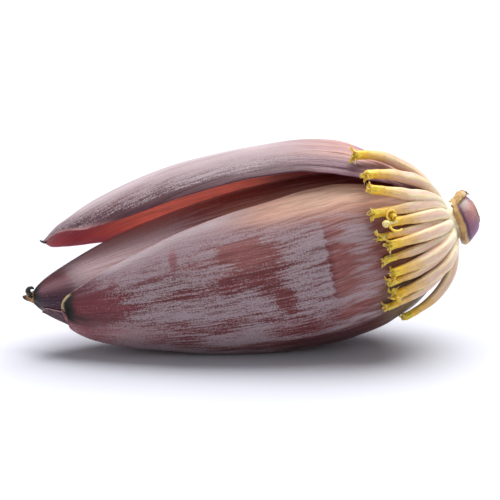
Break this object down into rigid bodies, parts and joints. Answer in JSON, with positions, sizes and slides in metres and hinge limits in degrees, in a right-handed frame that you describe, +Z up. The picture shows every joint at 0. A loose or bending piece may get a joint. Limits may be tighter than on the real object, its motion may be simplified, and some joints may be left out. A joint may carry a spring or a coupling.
{
  "type": "banana blossom",
  "caption": "Banana blossom lying on its belly: a pointed bud wrapped in maroon bracts, the top one lifting away, with a hand of cream florets combed over its shoulder.",
  "frame": {"origin": "middle of the flattened belly that the blossom rests on", "axes": "+X runs along the bud to the cut stem, +Z is up, -Y faces the side that the florets lie on"},
  "size_m": [0.2842, 0.124, 0.128],
  "materials": {
    "bud": "satin",
    "bract_under": "satin",
    "bract_front": "matte",
    "bract_top": "matte",
    "peduncle": "satin",
    "collar": "satin",
    "stub": "matte",
    "strand": "matte",
    "ovary": "satin",
    "perianth": "satin",
    "stigma": "satin"
  },
  "bodies": {
    "root": {"bud_heart": "bud", "bract_under": "bract_under", "bract_front": "bract_front", "bract_top": "bract_top", "peduncle": "peduncle", "scar_collar": "collar", "tip_stub": "stub", "tip_strand": "strand", "floret_01": "ovary", "perianth_01": "perianth", "floret_02": "ovary", "perianth_02": "perianth", "floret_03": "ovary", "perianth_03": "perianth", "floret_04": "ovary", "perianth_04": "perianth", "floret_05": "ovary", "perianth_05": "perianth", "floret_06": "ovary", "perianth_06": "perianth", "floret_07": "ovary", "perianth_07": "perianth", "floret_08": "ovary", "perianth_08": "perianth", "floret_09": "ovary", "perianth_09": "perianth", "floret_10": "ovary", "perianth_10": "perianth", "floret_11": "ovary", "perianth_11": "perianth", "floret_12": "ovary", "perianth_12": "perianth", "floret_13": "ovary", "perianth_13": "perianth", "floret_14": "ovary", "perianth_14": "perianth", "floret_15": "ovary", "perianth_15": "perianth", "floret_16": "ovary", "perianth_16": "perianth", "stigma_05": "stigma"}
  },
  "joints": []
}
